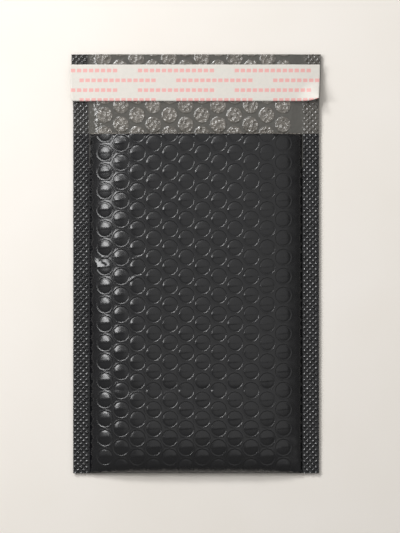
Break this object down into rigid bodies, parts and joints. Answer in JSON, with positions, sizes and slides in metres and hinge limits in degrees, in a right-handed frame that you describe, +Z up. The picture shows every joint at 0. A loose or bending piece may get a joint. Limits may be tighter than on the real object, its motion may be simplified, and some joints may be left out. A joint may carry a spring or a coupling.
{
  "type": "bubble mailer",
  "caption": "Black film mailer lined with bubble film, lying flat and empty with its mouth open, its flap unfolded and the peel-off strip still on the glue.",
  "frame": {"origin": "centre of the footprint, on the surface that the mailer lies on", "axes": "+X across the width, +Y along the length from the bottom fold to the end of the flap, +Z up through the front panel"},
  "size_m": [0.1508, 0.252, 0.0125],
  "materials": {
    "black_film": "satin",
    "clear_bubble_film": "glossy",
    "pressure_glue": "tacky",
    "release_paper": "silicone-coated"
  },
  "bodies": {
    "root": {"outer_film": "black_film", "bubble_liner": "clear_bubble_film", "adhesive_strip": "pressure_glue", "release_liner": "release_paper"}
  },
  "joints": []
}
